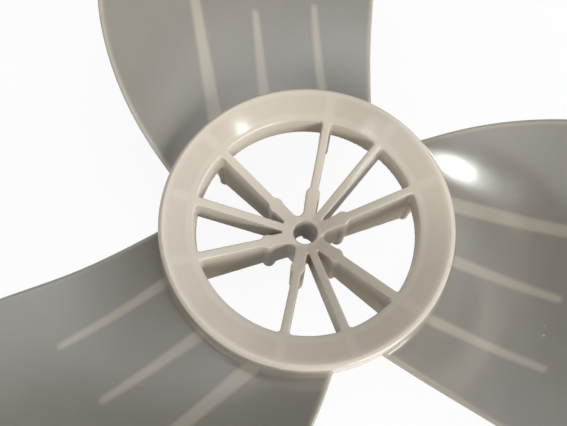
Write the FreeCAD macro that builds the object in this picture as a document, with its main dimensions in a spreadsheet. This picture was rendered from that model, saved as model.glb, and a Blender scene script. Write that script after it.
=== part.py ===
import FreeCAD, Part
import Sketcher
import math
import os

# Pedestal fan blade, one moulding. Lengths in mm, angles in degrees.
# +Z points to the front of the fan, the shaft axis is Z and the rear ends of the boss
# and of the knobs lie on Z = 0. A plain spoke lies along +X.

SIZES = {
    # shaft boss
    "bore_radius": 4.0,
    "bore_chamfer": 0.6,
    "boss_radius": 6.4,
    "boss_length": 20.6,
    "slot_width": 2.8,
    "slot_depth": 3.2,
    "slot_angle": 60.0,
    # front cone shared by the ring and the spokes
    "dish_height": 18.9,
    "dish_slope": 0.343,
    # hub ring, a channel that is open behind
    "ring_inner_radius": 36.9,
    "ring_outer_radius": 48.0,
    "ring_plate": 2.4,
    "inner_wall": 2.0,
    "outer_wall": 2.4,
    "inner_wall_end": 22.6,
    "outer_wall_end": 21.0,
    "ring_round": 2.0,
    # spokes
    "spoke_thickness": 2.7,
    "spoke_drop": 0.12,
    "deep_count": 6,
    "deep_hub_end": 3.2,
    "deep_rim_end": 5.2,
    "deep_foot_radius": 39.6,
    "plain_count": 3,
    "plain_hub_end": 8.2,
    "plain_rim_lift": 0.6,
    "web_thickness": 4.2,
    # ejector knobs on the deep spokes
    "knob_radius": 2.5,
    "knob_distance": 13.2,
    "knob_drop": 0.4,
    "bump_radius": 2.0,
    "bump_distance": 38.8,
    "bump_end": 4.2,
    "bump_lap": 0.6,
    # blades
    "blade_count": 3,
    "blade_web": 1.8,
    "rim_depth": 1.2,
    "rim_width": 2.6,
    "tip_radius": 170.0,
    "tip_angle": 46.5,
    "tip_cover": 8.0,
    # blade stations: radius, angles of the two edges, their heights over the outer wall's end
    # and the sag of the section between them
    "radius_one": 60.0,
    "radius_two": 80.0,
    "radius_three": 100.0,
    "radius_four": 130.0,
    "radius_five": 155.0,
    "front_root_angle": 111.8,
    "front_one_angle": 104.1,
    "front_two_angle": 94.8,
    "front_three_angle": 85.4,
    "front_four_angle": 69.5,
    "front_five_angle": 58.0,
    "rear_root_angle": 10.5,
    "rear_one_angle": 17.3,
    "rear_two_angle": 23.0,
    "rear_three_angle": 26.0,
    "rear_four_angle": 30.0,
    "rear_five_angle": 34.5,
    "front_root_height": 7.1,
    "front_one_height": 13.4,
    "front_two_height": 23.3,
    "front_three_height": 33.8,
    "front_four_height": 44.0,
    "front_five_height": 48.5,
    "rear_root_height": 3.3,
    "rear_one_height": 1.9,
    "rear_two_height": 3.2,
    "rear_three_height": 8.5,
    "rear_four_height": 18.5,
    "rear_five_height": 27.5,
    "root_sag": 0.0,
    "one_sag": 1.5,
    "two_sag": 3.2,
    "three_sag": 4.0,
    "four_sag": 4.0,
    "five_sag": 3.0,
    # ribs behind the blade: width and angle at the ring, radius and angle of the end
    "rib_depth": 2.4,
    "rib_end_width": 2.2,
    "long_rib_root_width": 5.0,
    "long_rib_root_angle": 82.5,
    "long_rib_end_radius": 118.0,
    "long_rib_end_angle": 63.7,
    "middle_rib_root_width": 4.0,
    "middle_rib_root_angle": 58.8,
    "middle_rib_end_radius": 83.0,
    "middle_rib_end_angle": 54.0,
    "short_rib_root_width": 3.4,
    "short_rib_root_angle": 33.0,
    "short_rib_end_radius": 86.0,
    "short_rib_end_angle": 39.0,
}
STATIONS = ("root", "one", "two", "three", "four", "five")

doc = FreeCAD.newDocument("FanBlade")
sheet = doc.addObject("Spreadsheet::Sheet", "Sizes")
for row, (name, number) in enumerate(SIZES.items(), start=1):
    sheet.set(f"A{row}", name)
    sheet.set(f"B{row}", str(number))
    sheet.setAlias(f"B{row}", name)
doc.recompute()


class Term:
    """A size together with the sheet formula that it comes from."""

    def __init__(self, value, formula):
        self.value = value
        self.formula = formula

    def __add__(self, other):
        return Term(self.value + other.value, f"({self.formula} + {other.formula})")

    def __sub__(self, other):
        return Term(self.value - other.value, f"({self.formula} - {other.formula})")

    def __mul__(self, other):
        return Term(self.value * other.value, f"({self.formula} * {other.formula})")

    def __neg__(self):
        return Term(-self.value, f"(-{self.formula})")

    def half(self):
        return Term(self.value / 2, f"({self.formula} / 2)")


def size(name):
    """The named cell as a term."""
    return Term(float(sheet.get(name)), f"Sizes.{name}")


ZERO = Term(0.0, "0")


def dish(radius):
    """Height of the front cone at a radius."""
    return size("dish_height") + size("dish_slope") * radius


def role(body, name):
    """An origin plane or axis of a body."""
    return next(part for part in body.Origin.OriginFeatures if part.Role == name)


def new_sketch(body, name, plane):
    sketch = body.newObject("Sketcher::SketchObject", name)
    sketch.AttachmentSupport = [(role(body, plane), "")]
    sketch.MapMode = "FlatFace"
    return sketch


def pin_point(sketch, curve, point, x, y):
    """Hold one point of a sketch at two sheet formulas."""
    for kind, axis, term in (("DistanceX", -2, x), ("DistanceY", -1, y)):
        if term.value == 0.0:
            sketch.addConstraint(Sketcher.Constraint("PointOnObject", curve, point, axis))
            continue
        ends = (-1, 1, curve, point) if term.value > 0 else (curve, point, -1, 1)
        index = sketch.addConstraint(Sketcher.Constraint(kind, *ends, abs(term.value)))
        held = term if term.value > 0 else -term
        sketch.setExpression(f"Constraints[{index}]", held.formula)


def outline_sketch(body, name, plane, corners):
    """A closed sketch of straight lines through corners of two terms each."""
    sketch = new_sketch(body, name, plane)
    count = len(corners)
    spots = [FreeCAD.Vector(x.value, y.value, 0) for x, y in corners]
    for index in range(count):
        sketch.addGeometry(Part.LineSegment(spots[index], spots[(index + 1) % count]))
    for index in range(count):
        after = (index + 1) % count
        sketch.addConstraint(Sketcher.Constraint("Coincident", index, 2, after, 1))
    for index, (x, y) in enumerate(corners):
        pin_point(sketch, index, 1, x, y)
    return sketch


def circle_sketch(body, name, x, y, radius):
    """A circle on the rear plane."""
    sketch = new_sketch(body, name, "XY_Plane")
    centre = FreeCAD.Vector(x.value, y.value, 0)
    sketch.addGeometry(Part.Circle(centre, FreeCAD.Vector(0, 0, 1), radius.value))
    pin_point(sketch, 0, 3, x, y)
    index = sketch.addConstraint(Sketcher.Constraint("Radius", 0, radius.value))
    sketch.setExpression(f"Constraints[{index}]", radius.formula)
    return sketch


def pad(body, name, sketch, length, symmetric=False):
    feature = body.newObject("PartDesign::Pad", name)
    feature.Profile = sketch
    feature.SideType = "Symmetric" if symmetric else "One side"
    feature.Length = length.value
    feature.setExpression("Length", length.formula)
    doc.recompute()
    return feature


def pocket(body, name, sketch, length):
    """A cut from the rear plane towards the front."""
    before = body.Shape.Volume
    feature = body.newObject("PartDesign::Pocket", name)
    feature.Profile = sketch
    feature.Reversed = True
    feature.Length = length.value
    feature.setExpression("Length", length.formula)
    doc.recompute()
    if body.Shape.Volume >= before:
        raise RuntimeError(f"{name} cuts nothing")
    return feature


def around(body, name, feature, count_name):
    """Repeat a feature evenly about the shaft axis."""
    pattern = body.newObject("PartDesign::PolarPattern", name)
    pattern.Originals = [feature]
    pattern.Axis = (role(body, "Z_Axis"), [""])
    pattern.Angle = 360
    body.Tip = pattern
    pattern.Occurrences = int(size(count_name).value)
    pattern.setExpression("Occurrences", f"Sizes.{count_name}")
    doc.recompute()
    return pattern


def circle_edges(shape, spots):
    """Names of the round edges that lie at given radii and heights."""
    names = []
    for index, edge in enumerate(shape.Edges, start=1):
        if not isinstance(edge.Curve, Part.Circle) or not edge.isClosed():
            continue
        for radius, height in spots:
            near = abs(edge.Curve.Radius - radius.value) < 0.01
            if near and abs(edge.Curve.Center.z - height.value) < 0.01:
                names.append(f"Edge{index}")
    if len(names) != len(spots):
        raise RuntimeError("an edge of the hub was not found")
    return names


# Hub: ring, boss, spokes, knobs, bore and slot
hub = doc.addObject("PartDesign::Body", "Hub")
inner = size("ring_inner_radius")
outer = size("ring_outer_radius")
channel_in = inner + size("inner_wall")
channel_out = outer - size("outer_wall")
plate = size("ring_plate")
ring_profile = outline_sketch(hub, "RingProfile", "XZ_Plane", [
    (inner, size("inner_wall_end")),
    (inner, dish(inner)),
    (outer, dish(outer)),
    (outer, size("outer_wall_end")),
    (channel_out, size("outer_wall_end")),
    (channel_out, dish(channel_out) - plate),
    (channel_in, dish(channel_in) - plate),
    (channel_in, size("inner_wall_end")),
])
ring = hub.newObject("PartDesign::Revolution", "Ring")
ring.Profile = ring_profile
ring.ReferenceAxis = (ring_profile, ["V_Axis"])
ring.Angle = 360
doc.recompute()
ring_edges = hub.newObject("PartDesign::Fillet", "RingRound")
ring_edges.Base = (ring, circle_edges(ring.Shape, [(inner, dish(inner)), (outer, dish(outer))]))
ring_edges.Radius = size("ring_round").value
ring_edges.setExpression("Radius", "Sizes.ring_round")
doc.recompute()

spoke = size("spoke_thickness")
drop = size("spoke_drop")
start = size("boss_radius") - (size("boss_radius") - size("bore_radius")).half()
finish = outer - size("outer_wall").half()
flush = inner + (outer - inner).half()
deep_sketch = outline_sketch(hub, "DeepProfile", "YZ_Plane", [
    (start, size("deep_hub_end")),
    (size("deep_foot_radius"), size("deep_rim_end")),
    (finish, size("outer_wall_end") + size("plain_rim_lift")),
    (finish, dish(finish) - plate),
    (flush, dish(flush) - drop),
    (start, dish(start) - drop),
])
deep = pad(hub, "DeepSpoke", deep_sketch, spoke, symmetric=True)
around(hub, "DeepSpokes", deep, "deep_count")

plain_sketch = outline_sketch(hub, "PlainProfile", "XZ_Plane", [
    (start, size("plain_hub_end")),
    (finish, size("outer_wall_end") + size("plain_rim_lift")),
    (finish, dish(finish) - plate),
    (flush, dish(flush) - drop),
    (start, dish(start) - drop),
])
plain = pad(hub, "PlainSpoke", plain_sketch, spoke, symmetric=True)
around(hub, "PlainSpokes", plain, "plain_count")

knob_at = size("knob_distance")
web_sketch = outline_sketch(hub, "WebProfile", "YZ_Plane", [
    (start, size("deep_hub_end")),
    (knob_at, size("deep_hub_end")),
    (knob_at, dish(knob_at) - drop),
    (start, dish(start) - drop),
])
web = pad(hub, "KnobWeb", web_sketch, size("web_thickness"), symmetric=True)
around(hub, "KnobWebs", web, "deep_count")

knob_sketch = circle_sketch(hub, "KnobCircle", ZERO, knob_at, size("knob_radius"))
knob = pad(hub, "Knob", knob_sketch, dish(knob_at) - size("knob_drop"))
around(hub, "Knobs", knob, "deep_count")

bump_at = size("bump_distance")
bump_sketch = circle_sketch(hub, "BumpCircle", ZERO, bump_at, size("bump_radius"))
bump_sketch.AttachmentOffset = FreeCAD.Placement(
    FreeCAD.Vector(0, 0, size("bump_end").value), FreeCAD.Rotation())
bump_sketch.setExpression("AttachmentOffset.Base.z", "Sizes.bump_end")
bump = pad(hub, "Bump", bump_sketch, size("inner_wall_end") + size("bump_lap") - size("bump_end"))
around(hub, "Bumps", bump, "deep_count")

boss_sketch = circle_sketch(hub, "BossCircle", ZERO, ZERO, size("boss_radius"))
pad(hub, "Boss", boss_sketch, size("boss_length"))
bore_sketch = circle_sketch(hub, "BoreCircle", ZERO, ZERO, size("bore_radius"))
bore = pocket(hub, "Bore", bore_sketch, dish(outer))

bore_rim = hub.newObject("PartDesign::Chamfer", "BoreRim")
bore_rim.Base = (bore, circle_edges(bore.Shape, [(size("bore_radius"), size("boss_length"))]))
bore_rim.Size = size("bore_chamfer").value
bore_rim.setExpression("Size", "Sizes.bore_chamfer")
doc.recompute()

reach = size("boss_radius") + size("slot_width")
half_slot = size("slot_width").half()
slot_sketch = outline_sketch(hub, "SlotOutline", "XY_Plane", [
    (-reach, -half_slot),
    (reach, -half_slot),
    (reach, half_slot),
    (-reach, half_slot),
])
slot_turn = FreeCAD.Rotation(FreeCAD.Vector(0, 0, 1), size("slot_angle").value)
slot_sketch.AttachmentOffset = FreeCAD.Placement(FreeCAD.Vector(), slot_turn)
slot_sketch.setExpression("AttachmentOffset.Rotation.Angle", "Sizes.slot_angle * 1 deg")
pocket(hub, "DriveSlot", slot_sketch, size("slot_depth"))


# Blade: a freely curved sheet, cut to its plan outline, with a rim and ribs behind it
def value(name):
    return size(name).value


def polar(radius, angle, height=0.0):
    turn = math.radians(angle)
    return FreeCAD.Vector(radius * math.cos(turn), radius * math.sin(turn), height)


def station_radius(station):
    return finish.value if station == "root" else value(f"radius_{station}")


def sheet_row(station, radius):
    """Points of the blade's face across one station, past both edges."""
    front = value(f"front_{station}_angle")
    rear = value(f"rear_{station}_angle")
    high = value("outer_wall_end") + value(f"front_{station}_height")
    low = value("outer_wall_end") + value(f"rear_{station}_height")
    sag = value(f"{station}_sag")
    points = []
    for share in (-0.12, 0.15, 0.4, 0.65, 0.88, 1.12):
        height = low + (high - low) * share - 4 * sag * share * (1 - share)
        points.append(polar(radius, rear + (front - rear) * share, height))
    return points


def front_face():
    rows = [sheet_row(station, station_radius(station)) for station in STATIONS]
    last = value("tip_radius") + value("tip_cover")
    rows.append(sheet_row(STATIONS[-1], last))
    surface = Part.BSplineSurface()
    surface.interpolate(rows)
    return surface.toShape()


def plan_face(inset):
    """The blade's outline seen along the shaft, drawn in by an inset."""
    front = []
    rear = []
    for station in STATIONS:
        radius = station_radius(station)
        share = math.degrees(inset / radius)
        front.append(polar(radius, value(f"front_{station}_angle") - share))
        rear.append(polar(radius, value(f"rear_{station}_angle") + share))
    tip = polar(value("tip_radius") - inset, value("tip_angle"))
    edge = Part.BSplineCurve()
    edge.interpolate(front + [tip] + rear[::-1])
    middle = (value("front_root_angle") + value("rear_root_angle")) / 2
    root = Part.Arc(rear[0], polar(finish.value, middle), front[0])
    return Part.Face(Part.Wire([edge.toShape(), root.toShape()]))


def rib_face(name):
    """A tapered strip from the ring to a round end."""
    root = polar(finish.value, value(f"{name}_rib_root_angle"))
    end = polar(value(f"{name}_rib_end_radius"), value(f"{name}_rib_end_angle"))
    along = (end - root).normalize()
    across = FreeCAD.Vector(-along.y, along.x, 0)
    wide = across * (value(f"{name}_rib_root_width") / 2)
    narrow = across * (value("rib_end_width") / 2)
    cap = end + along * (value("rib_end_width") / 2)
    lines = [
        Part.LineSegment(root - wide, end - narrow),
        Part.Arc(end - narrow, cap, end + narrow),
        Part.LineSegment(end + narrow, root + wide),
        Part.LineSegment(root + wide, root - wide),
    ]
    return Part.Face(Part.Wire([line.toShape() for line in lines]))


def layer(face, top, bottom):
    """The space between two depths behind the blade's face."""
    moved = face.translated(FreeCAD.Vector(0, 0, -bottom))
    return moved.extrude(FreeCAD.Vector(0, 0, bottom - top))


def blade_shape():
    web = value("blade_web")
    full = web + value("rim_depth")
    tall = FreeCAD.Vector(0, 0, value("outer_wall_end") + value("front_five_height") * 2)
    face = front_face()
    blade = layer(face, 0.0, full).common(plan_face(0.0).extrude(tall))
    hollow = layer(face, web, 2 * full).common(plan_face(value("rim_width")).extrude(tall))
    blade = blade.cut(hollow)
    for name in ("long", "middle", "short"):
        rib = layer(face, web / 2, web + value("rib_depth"))
        blade = blade.fuse(rib.common(rib_face(name).extrude(tall)))
    return blade


one_blade = blade_shape()
blades = []
for index in range(int(value("blade_count"))):
    blade = doc.addObject("Part::Feature", f"Blade{index + 1}")
    blade.Shape = one_blade
    turn = FreeCAD.Rotation(FreeCAD.Vector(0, 0, 1), 360.0 * index / value("blade_count"))
    blade.Placement = FreeCAD.Placement(FreeCAD.Vector(), turn)
    blades.append(blade)

# The moulding
moulding = doc.addObject("Part::MultiFuse", "Moulding")
moulding.Shapes = [hub] + blades
moulding.Refine = True
moulding.Label = "fan_blade"
moulding.Placement = FreeCAD.Placement()
doc.recompute()

for part in doc.Objects:
    if "Invalid" in part.State or "Error" in part.State:
        raise RuntimeError(f"{part.Name} did not build")
if moulding.Shape.isNull() or not moulding.Shape.isValid():
    raise RuntimeError("the moulding is not valid")
if len(moulding.Shape.Solids) != 1:
    raise RuntimeError("the moulding is not one solid")
os.makedirs("parts", exist_ok=True)
moulding.Shape.exportStep("parts/fan_blade.step")
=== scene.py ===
"""A pedestal fan blade: a dished hub ring, a spoked centre with a bored boss, and three twisted blades.

Sizes are in millimetres and degrees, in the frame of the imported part: the shaft axis is Z and the front of
the fan faces +Z. Meshes are brought to metres when they are settled. Floor, lamps and camera are in metres.
"""

import logging
import math
from dataclasses import dataclass
from enum import Enum
from typing import Callable

import bmesh
import bpy
import numpy as np
from mathutils import Matrix, Quaternion, Vector


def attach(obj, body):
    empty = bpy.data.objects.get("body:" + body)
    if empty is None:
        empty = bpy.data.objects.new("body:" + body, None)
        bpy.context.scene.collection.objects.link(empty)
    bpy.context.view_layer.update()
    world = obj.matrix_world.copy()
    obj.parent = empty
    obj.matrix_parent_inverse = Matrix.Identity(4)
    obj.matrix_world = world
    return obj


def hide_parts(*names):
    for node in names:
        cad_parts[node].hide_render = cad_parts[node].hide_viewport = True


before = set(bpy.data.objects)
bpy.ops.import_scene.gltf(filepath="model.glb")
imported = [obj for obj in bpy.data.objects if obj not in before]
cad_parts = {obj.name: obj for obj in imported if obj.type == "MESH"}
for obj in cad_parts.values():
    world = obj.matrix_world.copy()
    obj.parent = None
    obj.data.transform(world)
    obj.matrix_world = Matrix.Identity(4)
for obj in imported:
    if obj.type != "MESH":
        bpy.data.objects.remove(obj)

Nodes = bpy.types.Nodes
Socket = bpy.types.NodeSocket

MM = 0.001
NODE = "fan_blade"
BODY = "root"
WALL = "wall"
PAINTED_SHADE_ATTRIBUTE = "painted_shade"

logging.basicConfig(level=logging.INFO, format="%(name)s: %(message)s")
log = logging.getLogger("fan_blade")


class SpokeKind(Enum):
    """The two kinds of spoke in the hub."""

    DEEP = "deep"
    PLAIN = "plain"


def smoothstep(low: float | np.ndarray, high: float | np.ndarray, at: np.ndarray) -> np.ndarray:
    """An S-shaped rise from 0 at low to 1 at high."""
    share = np.clip((at - low) / (high - low), 0.0, 1.0)
    return share * share * (3.0 - 2.0 * share)


def quarter_round(radius: float, away: np.ndarray) -> np.ndarray:
    """Depth of a quarter round at a distance from its outer side.

    Args:
        radius: Radius of the round.
        away: Distances from the side where the round is deepest.

    Returns:
        The radius at distance zero, falling to nothing at one radius away.
    """
    left = radius - np.clip(away, 0.0, radius)
    return radius - np.sqrt(np.maximum(radius * radius - left * left, 0.0))


class SmoothCurve:
    """A natural cubic curve through a row of knots."""

    def __init__(self, knots: np.ndarray, values: np.ndarray) -> None:
        """Solve for the bends at the knots.

        Args:
            knots: Rising positions of the knots.
            values: One row of values per knot.
        """
        self.knots = np.asarray(knots, float)
        self.values = np.asarray(values, float)
        count = len(self.knots)
        gaps = np.diff(self.knots)
        slopes = np.diff(self.values, axis=0) / gaps[:, None]
        system = np.eye(count)
        right = np.zeros_like(self.values)
        for row in range(1, count - 1):
            system[row, row - 1:row + 2] = gaps[row - 1], 2.0 * (gaps[row - 1] + gaps[row]), gaps[row]
            right[row] = 6.0 * (slopes[row] - slopes[row - 1])
        self.bends = np.linalg.solve(system, right)

    def __call__(self, at: np.ndarray) -> np.ndarray:
        """Values at given positions.

        Args:
            at: Positions along the curve.

        Returns:
            One row of values per position.
        """
        at = np.asarray(at, float)
        low = np.clip(np.searchsorted(self.knots, at) - 1, 0, len(self.knots) - 2)
        gap = (self.knots[low + 1] - self.knots[low])[:, None]
        after = at[:, None] - self.knots[low][:, None]
        before = gap - after
        bend_low, bend_high = self.bends[low], self.bends[low + 1]
        cubic = (bend_low * before ** 3 + bend_high * after ** 3) / (6.0 * gap)
        start = self.values[low] / gap - bend_low * gap / 6.0
        end = self.values[low + 1] / gap - bend_high * gap / 6.0
        return cubic + start * before + end * after


def places(bm: bmesh.types.BMesh) -> np.ndarray:
    """The positions of all vertices as rows."""
    return np.array([vert.co for vert in bm.verts], float).reshape(-1, 3)


def place(verts: list[bmesh.types.BMVert], spots: np.ndarray) -> None:
    """Move vertices to rows of positions."""
    for vert, spot in zip(verts, spots):
        vert.co = spot


def grid(bm: bmesh.types.BMesh, across: int,
         along: int) -> tuple[list[bmesh.types.BMVert], np.ndarray, np.ndarray]:
    """A flat grid of vertices to be laid on a shape.

    Args:
        bm: The mesh that gets the grid.
        across: Number of vertices in a row.
        along: Number of rows.

    Returns:
        The new vertices, and the column and row number of each.
    """
    made = bmesh.ops.create_grid(bm, x_segments=across - 1, y_segments=along - 1, size=1.0)["verts"]
    spots = np.array([vert.co for vert in made])
    columns = np.rint((spots[:, 0] + 1.0) / 2.0 * (across - 1)).astype(int)
    rows = np.rint((spots[:, 1] + 1.0) / 2.0 * (along - 1)).astype(int)
    return made, columns, rows


def thicken(bm: bmesh.types.BMesh, verts: list[bmesh.types.BMVert], top: np.ndarray,
            under: np.ndarray) -> list[bmesh.types.BMVert]:
    """Give a laid grid its two sides.

    Args:
        bm: The mesh that holds the grid.
        verts: The grid's vertices, laid out in plan.
        top: Height of the front side at each vertex.
        under: Height of the rear side at each vertex.

    Returns:
        The vertices of both sides.
    """
    heights = {vert.co.to_tuple(5): (high, low) for vert, high, low in zip(verts, top, under)}
    faces = list({face for vert in verts for face in vert.link_faces})
    grown = bmesh.ops.extrude_face_region(bm, geom=faces)["geom"]
    behind = [vert for vert in grown if isinstance(vert, bmesh.types.BMVert)]
    for vert in behind:
        vert.co.z = heights[vert.co.to_tuple(5)][1]
    for vert, high in zip(verts, top):
        vert.co.z = high
    return verts + behind


def spin_section(bm: bmesh.types.BMesh, section: list[tuple[float, float]], steps: int) -> None:
    """Spin a closed section round the shaft.

    Args:
        bm: The mesh that gets the spun shape.
        section: Corners of the section as radius and height.
        steps: Number of steps in the full turn.
    """
    verts = [bm.verts.new((radius, 0.0, height)) for radius, height in section]
    edges = [bm.edges.new((verts[index - 1], verts[index])) for index in range(len(verts))]
    bmesh.ops.spin(bm, geom=verts + edges, cent=(0, 0, 0), axis=(0, 0, 1), angle=math.tau, steps=steps,
                   use_merge=True)


def by_spoke(spots: np.ndarray, angle: float) -> tuple[np.ndarray, np.ndarray]:
    """How points lie to a spoke.

    Args:
        spots: Rows of positions.
        angle: Direction of the spoke.

    Returns:
        Distance beside the spoke's middle, and distance along the spoke.
    """
    turn = math.radians(angle)
    beside = np.abs(-spots[:, 0] * math.sin(turn) + spots[:, 1] * math.cos(turn))
    along = spots[:, 0] * math.cos(turn) + spots[:, 1] * math.sin(turn)
    return beside, along


def direction(azimuth: float, elevation: float) -> Vector:
    """A unit vector towards an azimuth and an elevation."""
    turn, rise = math.radians(azimuth), math.radians(elevation)
    return Vector((math.cos(turn) * math.cos(rise), math.sin(turn) * math.cos(rise), math.sin(rise)))


def reckon(nodes: Nodes, link: Callable, operation: str, *terms: Socket | float) -> Socket:
    """Join sockets and constants in a Math node.

    Args:
        nodes: Nodes of the tree.
        link: Call that joins two sockets.
        operation: The node's operation.
        terms: Its inputs in order.

    Returns:
        The result's socket.
    """
    node = nodes.new("ShaderNodeMath")
    node.operation = operation
    for socket, term in zip(node.inputs, terms):
        if isinstance(term, Socket):
            link(term, socket)
        else:
            socket.default_value = term
    return node.outputs[0]


def map_range(nodes: Nodes, link: Callable, value: Socket, span: tuple[float, float],
              to: tuple[float, float] = (0.0, 1.0), smooth: bool = False) -> Socket:
    """Bring a value from one range to another.

    Args:
        nodes: Nodes of the tree.
        link: Call that joins two sockets.
        value: The value's socket.
        span: Ends of the range that the value is in.
        to: Ends of the range that it is brought to.
        smooth: Whether it eases in and out at the ends.

    Returns:
        The result's socket.
    """
    node = nodes.new("ShaderNodeMapRange")
    node.interpolation_type = "SMOOTHSTEP" if smooth else "LINEAR"
    for name, end in zip(("From Min", "From Max", "To Min", "To Max"), (*span, *to)):
        node.inputs[name].default_value = end
    link(value, node.inputs["Value"])
    return node.outputs["Result"]


def colour_mix(nodes: Nodes, blend: str = "MIX") -> bpy.types.ShaderNodeMix:
    """Make a colour mix node.

    Args:
        nodes: Nodes of the tree.
        blend: The node's blend type.

    Returns:
        The node, with its share at input 0 and its colours at inputs 6 and 7.
    """
    node = nodes.new("ShaderNodeMix")
    node.data_type = "RGBA"
    node.blend_type = blend
    return node


@dataclass(frozen=True)
class Dish:
    """The front cone that the ring and the spokes share."""

    height: float = 18.9
    slope: float = 0.343

    def at(self, radius: np.ndarray | float) -> np.ndarray | float:
        """Height of the cone at a radius."""
        return self.height + self.slope * radius


@dataclass(frozen=True)
class MilkyPlastic:
    """Translucent plastic, greyer where it is thin and creamier where it is thick.

    Patterns are sized in cells per metre. A finish with a front gets painted shade: it turns greyer with the
    depth below that front.
    """

    name: str
    thin: tuple[float, float, float]
    thick: tuple[float, float, float]
    roughness: float = 0.2
    smear_cells: float = 60.0
    cloud: float = 0.05
    cloud_cells: float = 26.0
    ripple: float = 0.05
    ripple_height: float = 0.0003
    ripple_cells: float = 420.0
    dust: tuple[float, float, float] = (0.78, 0.76, 0.72)
    dust_cover: float = 0.6
    speck_cells: float = 190.0
    drift_cells: float = 34.0
    scatter: float = 0.25
    scatter_depth: float = 0.0025
    scatter_colour: tuple[float, float, float] = (1.0, 0.9, 0.75)
    refraction: float = 1.5
    shine: float = 0.5
    skin: float = 0.0
    skin_roughness: float = 0.09
    # The front and the two depths below set painted shade that greys the colour deeper in the hub's recesses
    front: Dish | None = None
    shade_from: float = 0.5
    shade_to: float = 13.0

    def build(self) -> bpy.types.Material:
        """Make the material.

        Returns:
            A node material that reads the wall attributes and Object coordinates.
        """
        material = bpy.data.materials.new(self.name)
        material.use_nodes = True
        nodes, link = material.node_tree.nodes, material.node_tree.links.new
        shader = nodes["Principled BSDF"]
        shader.inputs["IOR"].default_value = self.refraction
        shader.inputs["Specular IOR Level"].default_value = self.shine
        shader.inputs["Coat Weight"].default_value = self.skin
        shader.inputs["Coat Roughness"].default_value = self.skin_roughness
        shader.inputs["Subsurface Weight"].default_value = self.scatter
        shader.inputs["Subsurface Radius"].default_value = self.scatter_colour
        shader.inputs["Subsurface Scale"].default_value = self.scatter_depth
        spot = nodes.new("ShaderNodeTexCoord").outputs["Object"]
        link(self._colour(nodes, link, spot), shader.inputs["Base Color"])

        smear = self._noise(nodes, link, spot, self.smear_cells, 4.0)
        gloss = (self.roughness - 0.03, self.roughness + 0.06)
        link(map_range(nodes, link, smear, (0.3, 0.7), gloss), shader.inputs["Roughness"])

        bump = nodes.new("ShaderNodeBump")
        bump.inputs["Strength"].default_value = self.ripple
        bump.inputs["Distance"].default_value = self.ripple_height
        link(self._noise(nodes, link, spot, self.ripple_cells, 2.0), bump.inputs["Height"])
        link(bump.outputs["Normal"], shader.inputs["Normal"])
        return material

    def _colour(self, nodes: Nodes, link: Callable, spot: Socket) -> Socket:
        """The plastic's colour with clouds and dust, and painted shade with depth where the finish has a
        front.

        Args:
            nodes: Nodes of the material.
            link: Call that joins two sockets.
            spot: Object coordinates.

        Returns:
            A colour socket.
        """
        wall = nodes.new("ShaderNodeAttribute")
        wall.attribute_name = WALL
        look = wall.outputs["Fac"]
        if self.front:
            look = self._with_painted_shade(nodes, link, spot, look)
        body = colour_mix(nodes)
        body.inputs[6].default_value = (*self.thin, 1.0)
        body.inputs[7].default_value = (*self.thick, 1.0)
        link(look, body.inputs[0])

        cloud = self._noise(nodes, link, spot, self.cloud_cells, 3.0)
        shade = map_range(nodes, link, cloud, (0.3, 0.7), (1.0 - self.cloud, 1.0 + self.cloud))
        clouded = colour_mix(nodes, "MULTIPLY")
        clouded.inputs[0].default_value = 1.0
        link(body.outputs[2], clouded.inputs[6])
        link(shade, clouded.inputs[7])

        dusted = colour_mix(nodes)
        dusted.inputs[7].default_value = (*self.dust, 1.0)
        link(self._specks(nodes, link, spot), dusted.inputs[0])
        link(clouded.outputs[2], dusted.inputs[6])
        return dusted.outputs[2]

    def _with_painted_shade(self, nodes: Nodes, link: Callable, spot: Socket, look: Socket) -> Socket:
        """The wall value, lowered by painted shade with depth below the front.

        Args:
            nodes: Nodes of the material.
            link: Call that joins two sockets.
            spot: Object coordinates.
            look: The value at the front.

        Returns:
            A socket with the value that is left.
        """
        flat = nodes.new("ShaderNodeVectorMath")
        flat.operation = "MULTIPLY"
        flat.inputs[1].default_value = (1.0, 1.0, 0.0)
        link(spot, flat.inputs[0])
        radius = nodes.new("ShaderNodeVectorMath")
        radius.operation = "LENGTH"
        link(flat.outputs["Vector"], radius.inputs[0])
        split = nodes.new("ShaderNodeSeparateXYZ")
        link(spot, split.inputs[0])
        painted_shade = nodes.new("ShaderNodeAttribute")
        painted_shade.attribute_name = PAINTED_SHADE_ATTRIBUTE
        slope, height = self.front.slope, self.front.height * MM
        # Painted shade: the look is lowered with depth below the front, scaled by a per-vertex attribute
        front = reckon(nodes, link, "MULTIPLY_ADD", radius.outputs["Value"], slope, height)
        depth = reckon(nodes, link, "SUBTRACT", front, split.outputs["Z"])
        share = map_range(nodes, link, depth, (self.shade_from * MM, self.shade_to * MM), smooth=True)
        lost = reckon(nodes, link, "MULTIPLY", share, painted_shade.outputs["Fac"])
        return reckon(nodes, link, "SUBTRACT", look, lost)

    @staticmethod
    def _noise(nodes: Nodes, link: Callable, spot: Socket, cells: float, detail: float) -> Socket:
        """A noise pattern.

        Args:
            nodes: Nodes of the material.
            link: Call that joins two sockets.
            spot: Object coordinates.
            cells: Cells per metre.
            detail: Octaves of detail.

        Returns:
            The noise's socket.
        """
        noise = nodes.new("ShaderNodeTexNoise")
        noise.inputs["Scale"].default_value = cells
        noise.inputs["Detail"].default_value = detail
        link(spot, noise.inputs["Vector"])
        return noise.outputs["Fac"]

    def _specks(self, nodes: Nodes, link: Callable, spot: Socket) -> Socket:
        """Sparse specks of dust.

        Args:
            nodes: Nodes of the material.
            link: Call that joins two sockets.
            spot: Object coordinates.

        Returns:
            A socket that is above zero on a speck.
        """
        cells = nodes.new("ShaderNodeTexVoronoi")
        cells.inputs["Scale"].default_value = self.speck_cells
        link(spot, cells.inputs["Vector"])
        dot = map_range(nodes, link, cells.outputs["Distance"], (0.10, 0.03))
        drift = self._noise(nodes, link, spot, self.drift_cells, 2.0)
        sparse = map_range(nodes, link, drift, (0.60, 0.72), (0.0, self.dust_cover))
        return reckon(nodes, link, "MULTIPLY", dot, sparse)


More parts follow.
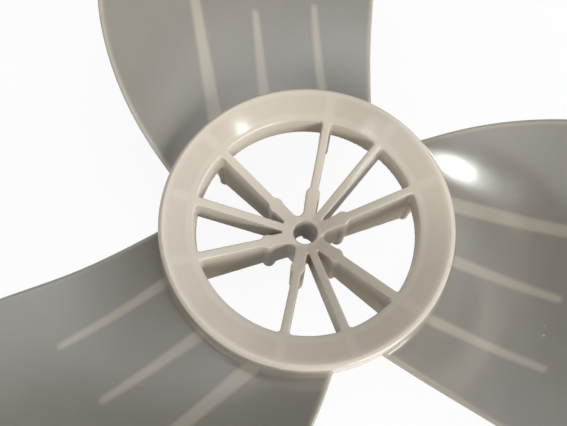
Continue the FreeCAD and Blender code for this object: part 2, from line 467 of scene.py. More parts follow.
@dataclass(frozen=True)
class PaleFloor:
    """A pale floor and backdrop that look white and keep a faint shadow."""

    colour: tuple[float, float, float] = (0.95, 0.95, 0.95)
    bounce: tuple[float, float, float] = (0.5, 0.42, 0.32)
    glow: float = 0.93
    radius: float = 3.0
    backdrop: float = 1.4
    drop: float = 0.0003

    def build(self) -> bpy.types.Object:
        """Make the floor and the low backdrop round its edge.

        Returns:
            A disc under the part with an upright rim.
        """
        bm = bmesh.new()
        bmesh.ops.create_circle(bm, cap_ends=True, segments=96, radius=self.radius)
        rim = [edge for edge in bm.edges if edge.is_boundary]
        raised = bmesh.ops.extrude_edge_only(bm, edges=rim)["geom"]
        raised = [item for item in raised if isinstance(item, bmesh.types.BMVert)]
        bmesh.ops.translate(bm, vec=(0.0, 0.0, self.backdrop), verts=raised)
        bmesh.ops.translate(bm, vec=(0.0, 0.0, -self.drop), verts=bm.verts)
        mesh = bpy.data.meshes.new("floor")
        bm.to_mesh(mesh)
        bm.free()
        mesh.materials.append(self._material())
        floor = bpy.data.objects.new("floor", mesh)
        bpy.context.scene.collection.objects.link(floor)
        return floor

    def _material(self) -> bpy.types.Material:
        """Pale paint, with a white glow for what is seen or mirrored.

        Returns:
            The floor's material.
        """
        material = bpy.data.materials.new("floor_white")
        material.use_nodes = True
        nodes, link = material.node_tree.nodes, material.node_tree.links.new
        nodes.clear()
        looked_at = seen(nodes, link)
        tone = colour_mix(nodes)
        tone.inputs[6].default_value = (*self.bounce, 1.0)
        tone.inputs[7].default_value = (*self.colour, 1.0)
        link(looked_at, tone.inputs[0])
        paint = nodes.new("ShaderNodeBsdfDiffuse")
        link(tone.outputs[2], paint.inputs["Color"])
        white = nodes.new("ShaderNodeEmission")
        white.inputs["Strength"].default_value = 1.0
        blend = nodes.new("ShaderNodeMixShader")
        link(reckon(nodes, link, "MULTIPLY", looked_at, self.glow), blend.inputs[0])
        link(paint.outputs[0], blend.inputs[1])
        link(white.outputs[0], blend.inputs[2])
        out = nodes.new("ShaderNodeOutputMaterial")
        link(blend.outputs[0], out.inputs["Surface"])
        return material


def seen(nodes: Nodes, link: Callable) -> Socket:
    """A socket that is one for camera, glossy and transmission rays.

    Args:
        nodes: Nodes of the tree.
        link: Call that joins two sockets.

    Returns:
        The joined ray test.
    """
    path = nodes.new("ShaderNodeLightPath")
    rays = path.outputs
    mirrored = reckon(nodes, link, "MAXIMUM", rays["Is Camera Ray"], rays["Is Glossy Ray"])
    return reckon(nodes, link, "MAXIMUM", mirrored, rays["Is Transmission Ray"])


def settle(bm: bmesh.types.BMesh, name: str, wall: np.ndarray,
           finish: bpy.types.Material) -> bpy.types.Object:
    """Turn a shaped mesh into a finished piece of the part.

    Args:
        bm: The shape, in millimetres. It is freed here.
        name: Name of the piece.
        wall: How thick the plastic looks at each vertex, 0 to 1.
        finish: The piece's material.

    Returns:
        The piece, riding on the part's body.
    """
    bmesh.ops.recalc_face_normals(bm, faces=bm.faces)
    bmesh.ops.scale(bm, vec=(MM, MM, MM), verts=bm.verts)
    mesh = bpy.data.meshes.new(name)
    bm.to_mesh(mesh)
    bm.free()
    mesh.shade_smooth()
    mesh.attributes.new(WALL, "FLOAT", "POINT").data.foreach_set("value", wall.astype(np.float32))
    mesh.materials.append(finish)
    piece = bpy.data.objects.new(name, mesh)
    bpy.context.scene.collection.objects.link(piece)
    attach(piece, BODY)
    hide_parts(NODE)
    log.info("%s: %d faces", name, len(mesh.polygons))
    return piece


@dataclass
class HubRing:
    """The ring's plate and outer wall; the spider carries its inner wall."""

    dish: Dish
    seam: float = 38.2
    inner: float = 36.9
    outer: float = 48.0
    plate: float = 2.4
    inner_wall: float = 2.0
    outer_wall: float = 2.4
    outer_wall_end: float = 21.0
    front_round: float = 2.0
    rear_round: float = 0.5
    channel_round: float = 0.8
    spoke_angles: tuple[float, ...] = (0, 30, 90, 120, 150, 210, 240, 270, 330)
    spoke_thickness: float = 2.7
    steps: int = 360
    round_steps: int = 6
    channel_show: float = 0.75
    inner_show: float = 0.8
    outer_show: float = 0.9
    spoke_show: float = 0.6

    def build(self, finish: bpy.types.Material) -> bpy.types.Object:
        """Spin the ring's section and round its edges.

        Args:
            finish: The ring's material.

        Returns:
            The finished ring.
        """
        bm = bmesh.new()
        section = self._section()
        spin_section(bm, [(radius, height) for radius, height, _ in section], self.steps)
        bmesh.ops.recalc_face_normals(bm, faces=bm.faces)
        for radius, height, rounding in section:
            edges = self._circle(bm, radius, height)
            if rounding:
                bmesh.ops.bevel(bm, geom=edges, offset=rounding, offset_type="OFFSET", affect="EDGES",
                                segments=self.round_steps, profile=0.5, material=-1)
            elif radius == self.seam:
                for edge in edges:
                    edge.smooth = False
        ring = settle(bm, "hub_ring", self.wall(places(bm)), finish)
        weigh = ring.modifiers.new("even_shading", "WEIGHTED_NORMAL")
        weigh.weight = 80
        weigh.keep_sharp = True
        return ring

    def _section(self) -> list[tuple[float, float, float]]:
        """The ring's section.

        Returns:
            Its corners as radius, height and rounding.
        """
        rise = self.dish.at
        channel_out = self.outer - self.outer_wall
        across = np.linspace(self.seam, self.outer - 1.6 * self.front_round, 12)
        return [
            (self.seam, rise(self.seam) - self.plate, 0.0),
            *((radius, rise(radius), 0.0) for radius in across.tolist()),
            (self.outer, rise(self.outer), self.front_round),
            (self.outer, self.outer_wall_end, self.rear_round),
            (channel_out, self.outer_wall_end, self.rear_round),
            (channel_out, rise(channel_out) - self.plate, self.channel_round),
        ]

    @staticmethod
    def _circle(bm: bmesh.types.BMesh, radius: float, height: float) -> list[bmesh.types.BMEdge]:
        """The circle of edges at one corner of the section.

        Args:
            bm: The spun ring.
            radius: Radius of the corner.
            height: Height of the corner.

        Returns:
            The edges that run round the shaft there.
        """
        corner = {vert for vert in bm.verts
                  if abs(vert.co.xy.length - radius) < 1e-3 and abs(vert.co.z - height) < 1e-3}
        return [edge for edge in bm.edges if corner.issuperset(edge.verts)]

    def wall(self, spots: np.ndarray) -> np.ndarray:
        """How thick the ring looks from the front.

        Args:
            spots: Rows of positions.

        Returns:
            Least over the channel, more over the walls and over the spokes behind the plate.
        """
        radius = np.hypot(spots[:, 0], spots[:, 1])
        channel_in = self.inner + self.inner_wall
        channel_out = self.outer - self.outer_wall
        over_inner = 1.0 - smoothstep(channel_in - 0.4, channel_in + 1.2, radius)
        over_outer = smoothstep(channel_out - 1.0, channel_out + 0.4, radius)
        thick = np.maximum(self.inner_show * over_inner, self.outer_show * over_outer)
        half = self.spoke_thickness / 2.0
        for angle in self.spoke_angles:
            beside, along = by_spoke(spots, angle)
            over_spoke = (along > 0) * (1.0 - smoothstep(half - 0.5, half + 0.9, beside))
            thick = np.maximum(thick, self.spoke_show * over_spoke)
        return self.channel_show + (1.0 - self.channel_show) * thick


@dataclass
class Spider:
    """The spokes with their knobs and bumps, the bored boss and the ring's inner wall, in one."""

    dish: Dish
    inner_wall: float = 2.0
    inner_wall_end: float = 22.6
    inner_round: float = 1.0
    start: float = 5.2
    finish_radius: float = 46.8
    flush_radius: float = 42.4
    ring_inner: float = 36.9
    rim_low: float = 21.6
    plate: float = 2.4
    drop: float = 0.05
    thickness: float = 2.8
    flare: float = 1.1
    deep_foot: float = 39.6
    deep_hub_low: float = 3.2
    deep_rim_low: float = 5.2
    deep_angles: tuple[float, ...] = (30, 90, 150, 210, 270, 330)
    plain_angles: tuple[float, ...] = (0, 120, 240)
    plain_hub_low: float = 8.2
    web_thickness: float = 4.2
    knob_radius: float = 2.5
    knob_distance: float = 13.2
    knob_drop: float = 0.1
    bump_radius: float = 2.0
    bump_distance: float = 38.8
    bump_low: float = 4.2
    bump_top: float = 23.2
    boss_radius: float = 6.4
    boss_length: float = 20.6
    bore_radius: float = 4.0
    bore_chamfer: float = 0.6
    slot_width: float = 2.8
    slot_depth: float = 3.2
    slot_angle: float = 60.0
    slot_lap: float = 0.6
    boss_steps: int = 96
    collar_steps: int = 240
    fuse: float = 0.34
    soften: int = 3
    keep: float = 0.38
    side_depth: float = 1.0
    true_reach: float = 0.3
    true_wall_reach: float = 0.12
    true_margin: float = 0.4
    front_show: float = 0.93
    ring_gain: float = 0.02
    # Painted shade at the recessed boss
    boss_shade: float = 0.1
    # The next four values set painted shade on the spokes' sides, strongest on the deep spokes
    deep_shade: float = 0.85
    boss_ease: float = 0.2
    ring_ease: float = 0.25
    plain_ease: float = 0.5
    least_shade: float = 0.1

    def build(self, finish: bpy.types.Material, side_finish: bpy.types.Material) -> bpy.types.Object:
        """Make the spokes and the boss, and fuse them into one soft-edged moulding.

        Args:
            finish: The front's material.
            side_finish: The duller material of the spokes' sides.

        Returns:
            The finished spider.
        """
        bm = bmesh.new()
        for angle in self.deep_angles:
            self._spoke(bm, SpokeKind.DEEP, angle)
            self._knobs(bm, angle)
        for angle in self.plain_angles:
            self._spoke(bm, SpokeKind.PLAIN, angle)
        self._boss(bm)
        self._collar(bm)
        fused = self._fused(bm)
        for face in fused.faces:
            face.material_index = int(self._beside(face))
        spots = places(fused)
        spider = settle(fused, "hub_spider", self.wall(spots), finish)
        spider.data.materials.append(side_finish)
        # Per-vertex strength of the painted shade that darkens the sides with depth
        spider.data.attributes.new(PAINTED_SHADE_ATTRIBUTE, "FLOAT", "POINT").data.foreach_set("value", self.painted_shade(spots))
        return spider

    def _beside(self, face: bmesh.types.BMFace) -> bool:
        """Whether a face lies on the side of a spoke, below the front's soft edge."""
        spot = face.calc_center_median()
        return self.dish.at(spot.xy.length) - spot.z > self.side_depth

    def _spoke(self, bm: bmesh.types.BMesh, kind: SpokeKind, angle: float) -> None:
        """One spoke, flared where it meets the boss and the ring.

        Args:
            bm: The mesh that gets the spoke.
            kind: Deep or plain.
            angle: Direction of the spoke.
        """
        along = np.concatenate([np.linspace(self.start, 12.0, 18), np.linspace(12.5, 33.0, 24),
                                np.linspace(33.5, self.finish_radius, 32)])
        verts, columns, rows = grid(bm, 5, len(along))
        radius = along[rows]
        half = self.thickness / 2.0 + quarter_round(self.flare, radius - self.boss_radius)
        place(verts, np.column_stack([radius, half * (columns - 2) / 2.0, np.zeros(len(radius))]))
        top = self.dish.at(radius) - self.drop
        sink = (radius - self.flush_radius) / (self.finish_radius - self.flush_radius)
        top = top - np.clip(sink, 0.0, 1.0) * (self.plate - self.drop)
        if kind is SpokeKind.DEEP:
            low = np.interp(radius, [self.start, self.deep_foot, self.finish_radius],
                            [self.deep_hub_low, self.deep_rim_low, self.rim_low])
        else:
            low = np.interp(radius, [self.start, self.finish_radius], [self.plain_hub_low, self.rim_low])
        self._turn(bm, thicken(bm, verts, top, low), angle)
        self._gusset(bm, angle)

    def _gusset(self, bm: bmesh.types.BMesh, angle: float) -> None:
        """The flare of one spoke where it meets the ring's inner wall.

        Args:
            bm: The mesh that gets the flare.
            angle: Direction of the spoke.
        """
        along = np.linspace(self.ring_inner - self.flare, self.ring_inner + self.inner_wall / 2.0, 12)
        verts, columns, rows = grid(bm, 3, len(along))
        radius = along[rows]
        half = self.thickness / 2.0 + quarter_round(self.flare, self.ring_inner - radius)
        place(verts, np.column_stack([radius, half * (columns - 1), np.zeros(len(radius))]))
        low = np.full(len(radius), self.inner_wall_end)
        self._turn(bm, thicken(bm, verts, self.dish.at(radius) - self.drop, low), angle)

    def _knobs(self, bm: bmesh.types.BMesh, angle: float) -> None:
        """The thick foot, the knob and the bump of one deep spoke.

        Args:
            bm: The mesh that gets them.
            angle: Direction of the spoke.
        """
        verts, columns, rows = grid(bm, 3, 9)
        radius = np.linspace(self.start, self.knob_distance, 9)[rows]
        across = self.web_thickness / 2.0 * (columns - 1)
        place(verts, np.column_stack([radius, across, np.zeros(len(radius))]))
        foot = thicken(bm, verts, self.dish.at(radius) - self.drop, np.full(len(radius), self.deep_hub_low))
        self._turn(bm, foot, angle)
        knob_top = self.dish.at(self.knob_distance) - self.knob_drop
        turn = math.radians(angle)
        posts = (
            (self.knob_distance, self.knob_radius, 0.0, knob_top),
            (self.bump_distance, self.bump_radius, self.bump_low, self.bump_top),
        )
        for distance, thick, low, top in posts:
            spot = Vector((distance * math.cos(turn), distance * math.sin(turn), (low + top) / 2.0))
            post = bmesh.ops.create_cone(bm, cap_ends=True, segments=32, radius1=thick, radius2=thick,
                                         depth=top - low, matrix=Matrix.Translation(spot))["verts"]
            for vert in post:
                if vert.co.z > spot.z:
                    vert.co.z += self.dish.slope * (vert.co.xy.length - distance)

    def _boss(self, bm: bmesh.types.BMesh) -> None:
        """The bored boss, with the slot for the drive pin across its rear end.

        Args:
            bm: The mesh that gets the boss.
        """
        bore, outer, chamfer = self.bore_radius, self.boss_radius, self.bore_chamfer
        spin_section(bm, [
            (bore, self.slot_depth), (outer, self.slot_depth), (outer, self.boss_length),
            (bore + chamfer, self.boss_length), (bore, self.boss_length - chamfer),
        ], self.boss_steps)
        lap = self.slot_depth + self.slot_lap
        for side in (0.0, 180.0):
            foot = bmesh.new()
            spin_section(foot, [(bore, 0.0), (outer, 0.0), (outer, lap), (bore, lap)], self.boss_steps)
            cut = bmesh.ops.bisect_plane(foot, geom=foot.verts[:] + foot.edges[:] + foot.faces[:],
                                         plane_co=(0.0, self.slot_width / 2.0, 0.0), plane_no=(0, 1, 0),
                                         clear_inner=True)["geom_cut"]
            rims = [edge for edge in cut if isinstance(edge, bmesh.types.BMEdge)]
            bmesh.ops.edgeloop_fill(foot, edges=rims)
            self._turn(foot, foot.verts[:], self.slot_angle + side)
            part = bpy.data.meshes.new("boss_foot")
            foot.to_mesh(part)
            foot.free()
            bm.from_mesh(part)
            bpy.data.meshes.remove(part)

    def _collar(self, bm: bmesh.types.BMesh) -> None:
        """The ring's inner wall, with a round front edge.

        Args:
            bm: The mesh that gets the wall.
        """
        inner, outer, rounding = self.ring_inner, self.ring_inner + self.inner_wall, self.inner_round
        slope = math.atan(self.dish.slope)
        centre = inner + rounding
        lift = self.dish.at(centre) - rounding / math.cos(slope)
        turns = np.linspace(math.pi, math.pi / 2.0 + slope, 7)
        front = [(centre + rounding * math.cos(turn), lift + rounding * math.sin(turn)) for turn in turns]
        rear = [(outer, self.dish.at(outer)), (outer, self.inner_wall_end)]
        spin_section(bm, [(inner, self.inner_wall_end), *front, *rear], self.collar_steps)

    @staticmethod
    def _turn(bm: bmesh.types.BMesh, verts: list[bmesh.types.BMVert], angle: float) -> None:
        """Turn vertices about the shaft."""
        turn = Matrix.Rotation(math.radians(angle), 3, "Z")
        bmesh.ops.rotate(bm, cent=(0, 0, 0), matrix=turn, verts=verts)

    def _fused(self, bm: bmesh.types.BMesh) -> bmesh.types.BMesh:
        """Fuse overlapping solids and soften what is left of their edges.

        Args:
            bm: The separate solids. It is freed here.

        Returns:
            One closed mesh.
        """
        bmesh.ops.recalc_face_normals(bm, faces=bm.faces)
        mesh = bpy.data.meshes.new("spider_solids")
        bm.to_mesh(mesh)
        bm.free()
        solids = bpy.data.objects.new("spider_solids", mesh)
        bpy.context.scene.collection.objects.link(solids)
        remesh = solids.modifiers.new("fuse", "REMESH")
        remesh.mode = "VOXEL"
        remesh.voxel_size = self.fuse
        smooth = solids.modifiers.new("soften", "SMOOTH")
        smooth.factor = 0.5
        smooth.iterations = self.soften
        thin = solids.modifiers.new("thin_out", "DECIMATE")
        thin.ratio = self.keep
        graph = bpy.context.evaluated_depsgraph_get()
        skin = bpy.data.meshes.new_from_object(solids.evaluated_get(graph))
        fused = bmesh.new()
        fused.from_mesh(skin)
        bpy.data.objects.remove(solids)
        bpy.data.meshes.remove(mesh)
        bpy.data.meshes.remove(skin)
        self._true_up(fused)
        return fused

    def wall(self, spots: np.ndarray) -> np.ndarray:
        """How thick the front of the spider looks, with painted shade that darkens it towards the boss.

        Args:
            spots: Rows of positions.

        Returns:
            Most at the ring, least at the boss, where painted shade darkens it.
        """
        radius = np.hypot(spots[:, 0], spots[:, 1])
        by_ring, by_boss = self._by_ring(radius), self._by_boss(radius)
        return self.front_show + self.ring_gain * by_ring - self.boss_shade * by_boss

    def painted_shade(self, spots: np.ndarray) -> np.ndarray:
        """How much painted shade darkens that look with depth.

        Args:
            spots: Rows of positions.

        Returns:
            Most on the deep spokes, less at the boss and the ring, least on the plain spokes.
        """
        radius = np.hypot(spots[:, 0], spots[:, 1])
        shallow = np.zeros(len(radius))
        for angle in self.plain_angles:
            beside, along = by_spoke(spots, angle)
            near = 1.0 - smoothstep(self.thickness, self.thickness + 1.0, beside)
            shallow = np.maximum(shallow, (along > self.boss_radius) * near)
        painted_shade = (self.deep_shade - self.boss_ease * self._by_boss(radius)
                - self.ring_ease * self._by_ring(radius) - self.plain_ease * shallow)
        return np.maximum(painted_shade, self.least_shade).astype(np.float32)

    def _by_ring(self, radius: np.ndarray) -> np.ndarray:
        """One at the ring, zero further in."""
        return smoothstep(self.ring_inner - 1.5, self.ring_inner, radius)

    def _by_boss(self, radius: np.ndarray) -> np.ndarray:
        """One at the boss, zero beyond the knobs."""
        return 1.0 - smoothstep(self.boss_radius, self.knob_distance + self.knob_radius + 1.0, radius)

    def _true_up(self, bm: bmesh.types.BMesh) -> None:
        """Bring the broad faces back to their true cone, cylinder and plane.

        Args:
            bm: The fused mesh.
        """
        flat_in = self.ring_inner + self.inner_round
        flat_out = self.ring_inner + self.inner_wall - self.true_margin
        for vert in bm.verts:
            radius = vert.co.xy.length
            front = self.dish.at(radius)
            if flat_in < radius < flat_out and abs(vert.co.z - front) < self.true_reach:
                vert.co.z = front
            below_round = vert.co.z < front - self.inner_round - self.true_margin
            if abs(radius - self.ring_inner) < self.true_wall_reach and below_round:
                vert.co.xy *= self.ring_inner / radius
            vert.co.z = max(vert.co.z, 0.0)


@dataclass(frozen=True)
class Station:
    """One section of a blade: its radius, the angles and heights of its edges, and its sag."""

    radius: float
    front: float
    rear: float
    front_height: float
    rear_height: float
    sag: float


@dataclass(frozen=True)
class Rib:
    """A tapered rib behind a blade, from the ring to a round end."""

    name: str
    root_width: float
    root_angle: float
    end_radius: float
    end_angle: float
    end_width: float = 2.2
    depth: float = 2.4

    def line(self, root_radius: float) -> tuple[np.ndarray, np.ndarray, float]:
        """The rib's centre line in plan.

        Args:
            root_radius: Radius where the rib starts.

        Returns:
            Its start, its direction and its length.
        """
        turn, end_turn = math.radians(self.root_angle), math.radians(self.end_angle)
        root = root_radius * np.array([math.cos(turn), math.sin(turn)])
        end = self.end_radius * np.array([math.cos(end_turn), math.sin(end_turn)])
        length = float(np.linalg.norm(end - root))
        return root, (end - root) / length, length

    def half_width(self, along: np.ndarray, length: float) -> np.ndarray:
        """Half the rib's width at distances along it."""
        share = np.clip(along / length, 0.0, 1.0)
        return (self.root_width + (self.end_width - self.root_width) * share) / 2.0

    def cover(self, plan: np.ndarray, root_radius: float, soft: float) -> np.ndarray:
        """How far the rib lies under points of the blade.

        Args:
            plan: Rows of plan positions.
            root_radius: Radius where the rib starts.
            soft: Breadth of the soft edge.

        Returns:
            One over the rib, falling to zero beside it.
        """
        root, way, length = self.line(root_radius)
        away = plan - root
        along = away @ way
        beside = away @ np.array([-way[1], way[0]])
        past = np.maximum(along - length, 0.0)
        half = self.half_width(along, length)
        return (1.0 - smoothstep(half - soft, half + soft, np.hypot(beside, past))) * (along > -3.0)


@dataclass
class BladeSet:
    """The blades: thin twisted sheets with a thicker rim, and ribs behind them."""

    wall_end: float = 21.0
    root_radius: float = 46.8
    ring_outer: float = 48.0
    stations: tuple[Station, ...] = (
        Station(46.8, 111.8, 10.5, 7.1, 3.3, 0.0),
        Station(60.0, 104.1, 17.3, 13.4, 1.9, 1.5),
        Station(80.0, 94.8, 23.0, 23.3, 3.2, 3.2),
        Station(100.0, 85.4, 26.0, 33.8, 8.5, 4.0),
        Station(130.0, 69.5, 30.0, 44.0, 18.5, 4.0),
        Station(155.0, 58.0, 34.5, 48.5, 27.5, 3.0),
    )
    tip_radius: float = 169.9
    tip_angle: float = 46.5
    tip_cover: float = 8.0
    web: float = 1.8
    rim_depth: float = 1.2
    rim_width: float = 2.6
    edge_round: float = 1.25
    root_round: float = 1.8
    count: int = 3
    ribs: tuple[Rib, ...] = (
        Rib("long", 5.0, 82.5, 118.0, 63.7),
        Rib("middle", 4.0, 58.8, 83.0, 54.0),
        Rib("short", 3.4, 33.0, 86.0, 39.0),
    )
    rim_show: float = 0.6
    rib_show: float = 0.62
    rib_soft: float = 0.7
    root_show: float = 0.5
    root_rows: tuple[float, ...] = (-1.1, -0.5, 0.0, 0.12, 0.35, 0.7, 1.15, 1.7, 2.4)
    tip_rows: tuple[float, ...] = (5.2, 4.0, 3.0, 2.2, 1.6, 1.1, 0.7, 0.4, 0.2, 0.07, 0.0)
    edge_columns: tuple[float, ...] = (0.0, 0.1, 0.3, 0.6, 0.95, 1.35, 1.9, 2.4, 2.8, 3.4, 4.2)
    edge_share: float = 0.28
    inner_rows: int = 118
    inner_columns: int = 118

    def build(self, finish: bpy.types.Material) -> list[bpy.types.Object]:
        """Make the blades and their ribs, each set turned to its place.

        Args:
            finish: The blades' material.

        Returns:
            The finished pieces.
        """
        pieces = []
        sheet, ribs = self._sheet(), self._ribs()
        walls = self.wall(places(sheet)), np.full(len(ribs.verts), self.rib_show)
        for index in range(self.count):
            turn = Matrix.Rotation(math.tau * index / self.count, 3, "Z")
            for name, shape, wall in (("blade", sheet, walls[0]), ("blade_ribs", ribs, walls[1])):
                bm = shape.copy()
                bmesh.ops.rotate(bm, cent=(0, 0, 0), matrix=turn, verts=bm.verts)
                pieces.append(settle(bm, f"{name}_{index + 1}", wall, finish))
        sheet.free()
        ribs.free()
        return pieces

    def _lay(self) -> SmoothCurve:
        """The blade's stations as one curve.

        Returns:
            Edge angles, edge heights and sag along the radius.
        """
        rows = [(s.front, s.rear, s.front_height, s.rear_height, s.sag) for s in self.stations]
        radii = [s.radius for s in self.stations] + [self.tip_radius + self.tip_cover]
        return SmoothCurve(np.array(radii), np.array(rows + rows[-1:]))

    def face(self, plan: np.ndarray) -> np.ndarray:
        """Height of the blade's front.

        Args:
            plan: Rows of plan positions.

        Returns:
            One height per position.
        """
        radius = np.hypot(plan[:, 0], plan[:, 1])
        angle = np.degrees(np.arctan2(plan[:, 1], plan[:, 0]))
        front, rear, high, low, sag = self._lay()(radius).T
        share = (angle - rear) / (front - rear)
        return self.wall_end + low + (high - low) * share - 4.0 * sag * share * (1.0 - share)

    def outline(self) -> np.ndarray:
        """The blade's free edge in plan, from the front of the root round the tip to the rear.

        Returns:
            Closely spaced plan positions.
        """
        corners = [(s.radius, s.front) for s in self.stations] + [(self.tip_radius, self.tip_angle)]
        corners += [(s.radius, s.rear) for s in reversed(self.stations)]
        radius, angle = np.array(corners).T
        points = np.column_stack([radius * np.cos(np.radians(angle)), radius * np.sin(np.radians(angle))])
        steps = np.linalg.norm(np.diff(points, axis=0), axis=1)
        knots = np.concatenate([[0.0], np.cumsum(steps)])
        return SmoothCurve(knots, points)(np.linspace(0.0, knots[-1], 600))

    def edge_distance(self, plan: np.ndarray) -> np.ndarray:
        """Distance in plan from the blade's free edge.

        Args:
            plan: Rows of plan positions.

        Returns:
            One distance per position.
        """
        line = self.outline()
        start, step = line[:-1], np.diff(line, axis=0)
        reach = np.einsum("ij,ij->i", step, step)
        nearest = []
        for part in np.array_split(plan, max(1, len(plan) // 2000)):
            away = part[:, None, :] - start[None]
            share = np.clip(np.einsum("nij,ij->ni", away, step) / reach, 0.0, 1.0)
            gap = away - share[..., None] * step[None]
            nearest.append(np.sqrt(np.einsum("nij,nij->ni", gap, gap).min(axis=1)))
        return np.concatenate(nearest)

    def _rows(self) -> tuple[np.ndarray, np.ndarray, np.ndarray]:
        """Radii of the rows that a blade is laid in, and the angles of its edges there.

        Returns:
            Row radii, front edge angles and rear edge angles.
        """
        line = self.outline()
        radius = np.hypot(line[:, 0], line[:, 1])
        angle = np.degrees(np.arctan2(line[:, 1], line[:, 0]))
        tip = int(np.argmax(radius))
        last = radius[tip]
        root = self.ring_outer + np.array(self.root_rows)
        middle = np.linspace(root[-1] + 0.8, last - self.tip_rows[0] - 1.3, self.inner_rows)
        end = last - np.array(self.tip_rows)
        rows = np.concatenate([root, middle, end])
        front = np.interp(rows, radius[:tip + 1], angle[:tip + 1])
        rear = np.interp(rows, radius[tip:][::-1], angle[tip:][::-1])
        return rows, front, rear

    def _plan(self) -> np.ndarray:
        """Plan positions of the blade's grid, closer together along both edges.

        Returns:
            An array of rows by columns by two.
        """
        rows, front, rear = self._rows()
        near = np.array(self.edge_columns)
        plan = []
        slants = [np.hypot(1.0, np.radians(np.gradient(edge, rows)) * rows) for edge in (rear, front)]
        for radius, first, last, slant_rear, slant_front in zip(rows, rear, front, *slants):
            width = radius * math.radians(last - first)
            most = self.edge_share * width / near[-1]
            low = near * min(slant_rear, most)
            high = near * min(slant_front, most)
            between = np.linspace(low[-1], width - high[-1], self.inner_columns + 2)[1:-1]
            across = np.concatenate([low, between, width - high[::-1]])
            turn = math.radians(first) + across / radius
            plan.append(np.column_stack([radius * np.cos(turn), radius * np.sin(turn)]))
        return np.array(plan)

    def _sheet(self) -> bmesh.types.BMesh:
        """One blade with rounded edges, a thicker rim behind and a round at its root.

        Returns:
            The blade at its first place.
        """
        laid = self._plan()
        bm = bmesh.new()
        verts, columns, rows = grid(bm, laid.shape[1], laid.shape[0])
        plan = laid[rows, columns]
        place(verts, np.column_stack([plan, np.zeros(len(plan))]))
        edge = self.edge_distance(plan)
        away = np.hypot(plan[:, 0], plan[:, 1]) - self.ring_outer
        front = self.face(plan)
        rounding = quarter_round(self.edge_round, edge)
        rim = self.rim_depth * (1.0 - smoothstep(self.rim_width - 0.5, self.rim_width + 0.5, edge))
        top = front - rounding + quarter_round(self.root_round, away)
        under = front - self.web - rim + rounding
        thicken(bm, verts, top, under)
        bmesh.ops.remove_doubles(bm, verts=bm.verts, dist=1e-4)
        return bm

    def _ribs(self) -> bmesh.types.BMesh:
        """The ribs of one blade.

        Returns:
            All ribs at their first place.
        """
        bm = bmesh.new()
        for rib in self.ribs:
            root, way, length = rib.line(self.root_radius)
            log.info("%s rib: %.1f mm long", rib.name, length)
            side = np.array([-way[1], way[0]])
            end_half = rib.end_width / 2.0
            cap = length + end_half * np.sin(np.linspace(0.0, math.pi / 2.0, 9))[1:]
            along = np.concatenate([np.linspace(0.0, length, 60), cap])
            verts, columns, rows = grid(bm, 13, len(along))
            reach = along[rows]
            past = np.clip((reach - length) / end_half, 0.0, 1.0)
            fade = np.sqrt(np.maximum(1.0 - past * past, 0.0))
            share = np.sin((columns / 12.0 - 0.5) * math.pi)
            beside = rib.half_width(reach, length) * fade * share
            plan = root + reach[:, None] * way + beside[:, None] * side
            place(verts, np.column_stack([plan, np.zeros(len(plan))]))
            front = self.face(plan)
            belly = np.power(np.maximum(1.0 - np.abs(share) ** 4, 0.0), 0.25)
            thicken(bm, verts, front - self.web / 2.0, front - self.web - rib.depth * belly * fade + 0.02)
        bmesh.ops.remove_doubles(bm, verts=bm.verts, dist=1e-4)
        return bm

    def wall(self, spots: np.ndarray) -> np.ndarray:
        """How thick a blade looks at its first place.

        Args:
            spots: Rows of positions.

        Returns:
            Zero over the bare web, more over the rim, the ribs and the root.
        """
        plan = spots[:, :2]
        edge = self.edge_distance(plan)
        thick = self.rim_show * (1.0 - smoothstep(0.8, 2.2, edge))
        for rib in self.ribs:
            thick = np.maximum(thick, self.rib_show * rib.cover(plan, self.root_radius, self.rib_soft))
        away = np.hypot(plan[:, 0], plan[:, 1]) - self.ring_outer
        return np.maximum(thick, self.root_show * (1.0 - smoothstep(0.2, 2.6, away)))


@dataclass(frozen=True)
class SoftLamp:
    """A soft lamp, square unless it has a height of its own, aimed at the hub unless it has an aim."""

    name: str
    azimuth: float
    elevation: float
    distance: float
    width: float
    power: float
    height: float | None = None
    roll: float = 0.0
    spread: float = 180.0
    aim: tuple[float, float, float] = (0.0, 0.0, 0.025)
    colour: tuple[float, float, float] = (1.0, 1.0, 1.0)

    def build(self) -> bpy.types.Object:
        """Hang the lamp.

        Returns:
            The lamp's object.
        """
        lamp = bpy.data.lights.new(self.name, "AREA")
        lamp.shape = "RECTANGLE"
        lamp.size = self.width
        lamp.size_y = self.height or self.width
        lamp.spread = math.radians(self.spread)
        lamp.energy = self.power
        lamp.color = self.colour
        way = direction(self.azimuth, self.elevation)
        light = bpy.data.objects.new(self.name, lamp)
        light.location = Vector(self.aim) + way * self.distance
        spin = Quaternion((0.0, 0.0, 1.0), math.radians(self.roll))
        light.rotation_euler = ((-way).to_track_quat("-Z", "Y") @ spin).to_euler()
        bpy.context.scene.collection.objects.link(light)
        return light


@dataclass(frozen=True)
class SkyGlow:
    """A bright patch of the surroundings that fades out evenly."""

    azimuth: float
    elevation: float
    reach: float
    strength: float

    def build(self, nodes: Nodes, link: Callable, way: Socket) -> Socket:
        """Make the patch.

        Args:
            nodes: Nodes of the world.
            link: Call that joins two sockets.
            way: The direction that is looked in.

        Returns:
            A socket with the patch's strength in each direction.
        """
        towards = nodes.new("ShaderNodeVectorMath")
        towards.operation = "DOT_PRODUCT"
        towards.inputs[1].default_value = direction(self.azimuth, self.elevation)
        link(way, towards.inputs[0])
        edge = math.cos(math.radians(self.reach))
        near = towards.outputs["Value"]
        return map_range(nodes, link, near, (edge, 1.0), (0.0, self.strength), smooth=True)


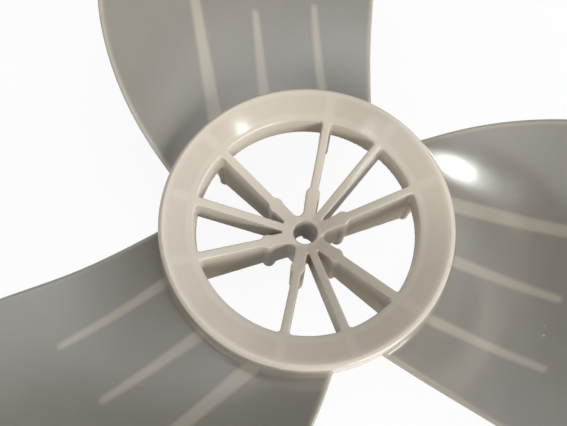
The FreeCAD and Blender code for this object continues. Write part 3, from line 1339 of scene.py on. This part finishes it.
@dataclass
class Studio:
    """The floor, the lamps, the surrounding light and the camera."""

    floor: PaleFloor = PaleFloor()
    ambient: float = 0.03
    sky: tuple[float, float, float] = (0.98, 1.0, 1.03)
    glows: tuple[SkyGlow, ...] = (
        SkyGlow(3.0, 60.0, 29.0, 1.75),
        SkyGlow(44.0, 68.0, 24.0, 1.6),
    )
    lamps: tuple[SoftLamp, ...] = (
        SoftLamp("front", 258.0, 18.0, 1.2, 0.6, 11.5),
        SoftLamp("right_low", 312.0, 13.0, 1.2, 0.6, 8.2),
        SoftLamp("left_low", 172.0, 14.0, 1.2, 0.5, 2.2),
        SoftLamp("left", 177.0, 51.0, 1.2, 0.55, 2.0),
        SoftLamp("ring_sheen", 240.0, 79.0, 1.2, 0.46, 1.4, colour=(1.0, 0.88, 0.74)),
        SoftLamp("window", 147.67, 71.72, 0.25, 0.0566, 0.0018, height=0.0248, roll=-59.2, spread=14.0,
                 aim=(0.0502, -0.024, 0.0304)),
        SoftLamp("ring_window", 296.3, 72.0, 0.25, 0.010, 0.000013, height=0.006, roll=41.0, spread=5.0,
                 aim=(0.0104, 0.0378, 0.0323)),
    )
    lens: float = 42.295
    camera_spot: tuple[float, float, float] = (-0.059344, -0.038538, 0.236829)
    camera_right: tuple[float, float, float] = (0.66323, -0.74828, 0.01428)
    camera_up: tuple[float, float, float] = (0.70195, 0.62857, 0.33492)

    def build(self) -> None:
        """Set up everything round the part."""
        self.floor.build()
        for lamp in self.lamps:
            lamp.build()
        self._surroundings()
        self._camera()
        bpy.context.scene.view_settings.view_transform = "Standard"

    def _surroundings(self) -> None:
        """Faint light from all round, with brighter patches."""
        world = bpy.data.worlds.new("soft_room")
        world.use_nodes = True
        nodes, link = world.node_tree.nodes, world.node_tree.links.new
        nodes.clear()
        room = nodes.new("ShaderNodeBackground")
        room.inputs["Color"].default_value = (*self.sky, 1.0)
        way = nodes.new("ShaderNodeTexCoord").outputs["Generated"]
        total = self.ambient
        for glow in self.glows:
            total = reckon(nodes, link, "ADD", total, glow.build(nodes, link, way))
        link(total, room.inputs["Strength"])
        out = nodes.new("ShaderNodeOutputWorld")
        link(room.outputs[0], out.inputs["Surface"])
        bpy.context.scene.world = world

    def _camera(self) -> None:
        """A camera that looks down over the hub from in front."""
        camera = bpy.data.cameras.new("camera")
        camera.sensor_fit = "HORIZONTAL"
        camera.sensor_width = 36.0
        camera.lens = self.lens
        camera.clip_start = 0.01
        viewer = bpy.data.objects.new("camera", camera)
        right = Vector(self.camera_right).normalized()
        up = Vector(self.camera_up)
        up = (up - right * up.dot(right)).normalized()
        axes = Matrix((right, up, right.cross(up))).transposed()
        viewer.matrix_world = Matrix.Translation(self.camera_spot) @ axes.to_4x4()
        bpy.context.scene.collection.objects.link(viewer)
        bpy.context.scene.camera = viewer


def main() -> None:
    """Build the part's pieces in order, then what stands round it."""
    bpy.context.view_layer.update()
    dish = Dish()
    hub_thin, hub_thick = (0.345, 0.295, 0.215), (0.635, 0.582, 0.495)
    # front=dish gives these finishes painted shade that greys them with depth below the dish
    hub_finish = MilkyPlastic("hub_plastic", hub_thin, hub_thick, roughness=0.2, shine=0.38, skin=0.35,
                              front=dish).build()
    side_finish = MilkyPlastic("hub_side_plastic", hub_thin, hub_thick, roughness=0.35, shine=0.06,
                               front=dish).build()
    blade_thin, blade_thick = (0.265, 0.252, 0.225), (0.50, 0.46, 0.38)
    blade_finish = MilkyPlastic("blade_plastic", blade_thin, blade_thick, roughness=0.13).build()
    HubRing(dish).build(hub_finish)
    Spider(dish).build(hub_finish, side_finish)
    BladeSet().build(blade_finish)
    Studio().build()


if __name__ == "__main__":
    main()
